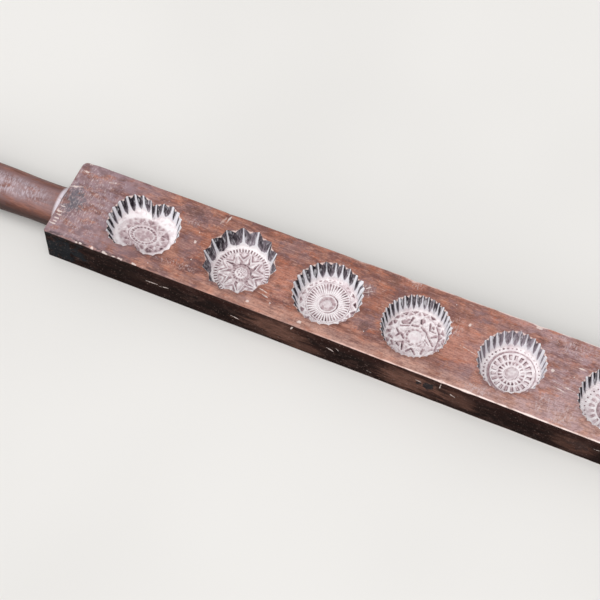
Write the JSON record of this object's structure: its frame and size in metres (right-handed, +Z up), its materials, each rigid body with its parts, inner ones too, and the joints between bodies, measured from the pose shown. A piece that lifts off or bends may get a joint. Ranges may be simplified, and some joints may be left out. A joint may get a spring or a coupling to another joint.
{
  "type": "wooden cake mold",
  "caption": "Long hardwood press mold for small cakes: a carved board with a row of fluted wells and rosette floors, and a round pegged handle at one end.",
  "frame": {"origin": "middle of the whole length and width, on the plane of the underside", "axes": "+X along the length from the handle to the far end, +Y across the board, +Z up out of the wells"},
  "size_m": [0.594, 0.0694, 0.034],
  "materials": {
    "board_wood": "worn, rubbed hardwood with flour in the carving",
    "handle_wood": "worn, hand-polished hardwood",
    "peg_wood": "plain split wood"
  },
  "bodies": {
    "root": {"mold_board": "board_wood", "handle": "handle_wood", "tenon_peg_1": "peg_wood", "tenon_peg_2": "peg_wood"}
  },
  "joints": []
}
